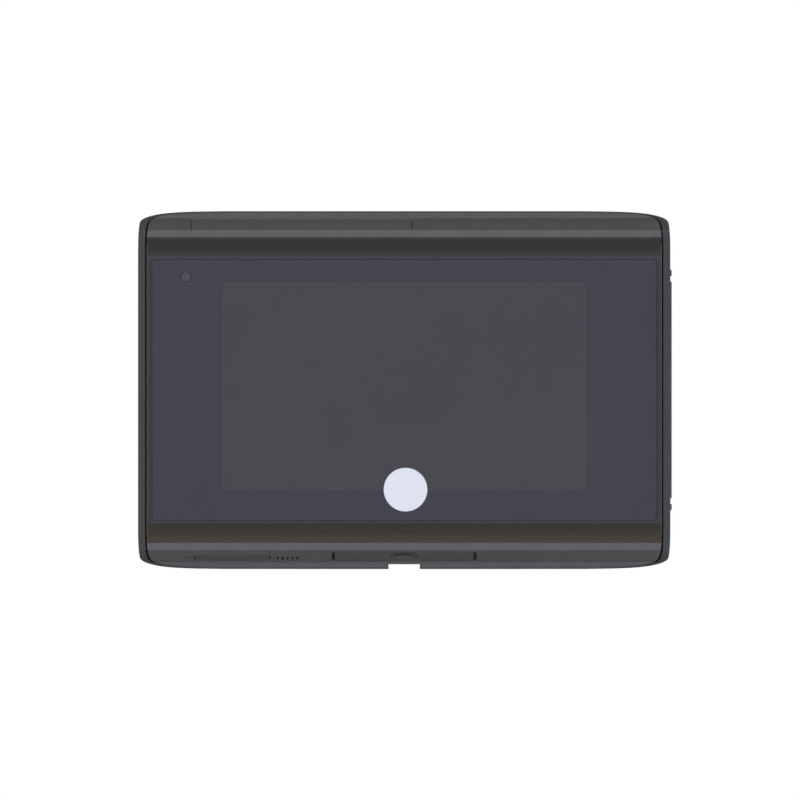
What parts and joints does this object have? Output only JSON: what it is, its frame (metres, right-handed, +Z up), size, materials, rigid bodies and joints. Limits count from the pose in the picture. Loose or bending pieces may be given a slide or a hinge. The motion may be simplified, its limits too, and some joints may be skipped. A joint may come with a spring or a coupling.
{
  "type": "alarm keypad panel",
  "caption": "Slim wall-mounted touch alarm panel with soft corners, glossy crowned fascia, flat dark lens, battery door, side door, round DC inlet and hook-on wall plate.",
  "frame": {"origin": "on the back face of the wall plate, at the middle of the panel, in the plane of the wall", "axes": "+X to the right seen from the front, +Z up, +Y into the wall, so the lens faces -Y"},
  "size_m": [0.1405, 0.0211, 0.0942],
  "materials": {
    "casing": "fine moulded texture, satin",
    "gloss": "polished, dark",
    "glass": "printed touch glass, dark",
    "rubber": "soft, matt",
    "steel": "plated",
    "dark_plastic": "moulded, black",
    "circuit": "solder mask",
    "pale": "smooth, pale",
    "wrap": "film wrap"
  },
  "bodies": {
    "bracket": {"wall_plate": "casing"},
    "panel": {"rear_housing": "casing", "front_housing": "casing", "front_fascia": "gloss", "lens_tape": "dark_plastic", "touch_lens": "glass", "light_pipe": "pale", "badge_disc": "pale", "lcd_gasket": "rubber", "lcd_glass": "dark_plastic", "backlight_frame": "steel", "display_flex": "wrap", "flex_connector": "dark_plastic", "main_board": "circuit", "processor_shield": "steel", "radio_module": "steel", "radio_antenna": "circuit", "buzzer": "dark_plastic", "backup_cell_holder": "dark_plastic", "backup_cell": "steel", "status_led": "pale", "loudspeaker": "dark_plastic", "battery_pack": "wrap", "battery_connector": "dark_plastic", "card_socket": "steel", "service_port": "steel", "terminal_block": "circuit", "reset_switch": "dark_plastic", "tamper_switch": "dark_plastic", "tamper_spring": "steel", "jack_lead": "dark_plastic", "speaker_lead": "dark_plastic", "side_door_pin": "steel", "connector_plate": "casing", "dc_jack": "dark_plastic", "speaker_gasket": "rubber", "mic_boot": "rubber", "microphone": "steel", "board_screw_1": "steel", "housing_screw_1": "steel", "board_screw_2": "steel", "housing_screw_2": "steel", "board_screw_3": "steel", "housing_screw_3": "steel", "board_screw_4": "steel", "housing_screw_4": "steel"},
    "battery_lid": {"battery_door": "casing"},
    "side_lid": {"side_door": "casing"},
    "plug": {"card_plug": "rubber"},
    "tamper": {"tamper_plunger": "pale"},
    "reset": {"reset_button": "pale"}
  },
  "joints": [
    {"name": "panel_lift", "type": "slide", "parent": "bracket", "child": "panel", "axis": [0, 0, 1], "range_m": [0, 0.0055]},
    {"name": "battery_door_hinge", "type": "hinge", "parent": "panel", "child": "battery_lid", "pos_m": [-0.027, -0.00517, 0.04412], "axis": [-1, 0, 0], "range_deg": [0, 95]},
    {"name": "side_door_hinge", "type": "hinge", "parent": "panel", "child": "side_lid", "pos_m": [0.0694, -0.0038, 0], "axis": [0, 0, 1], "range_deg": [0, 95]},
    {"name": "card_plug_pull", "type": "slide", "parent": "panel", "child": "plug", "axis": [0, -0.232, -0.9727], "range_m": [0, 0.006]},
    {"name": "tamper_press", "type": "slide", "parent": "panel", "child": "tamper", "axis": [0, 1, 0], "range_m": [0, 0.0012], "stiffness_N_per_m": 300, "deforming": ["tamper_spring"]},
    {"name": "reset_press", "type": "slide", "parent": "panel", "child": "reset", "axis": [-1, 0, 0], "range_m": [0, 0.0004], "stiffness_N_per_m": 500}
  ]
}
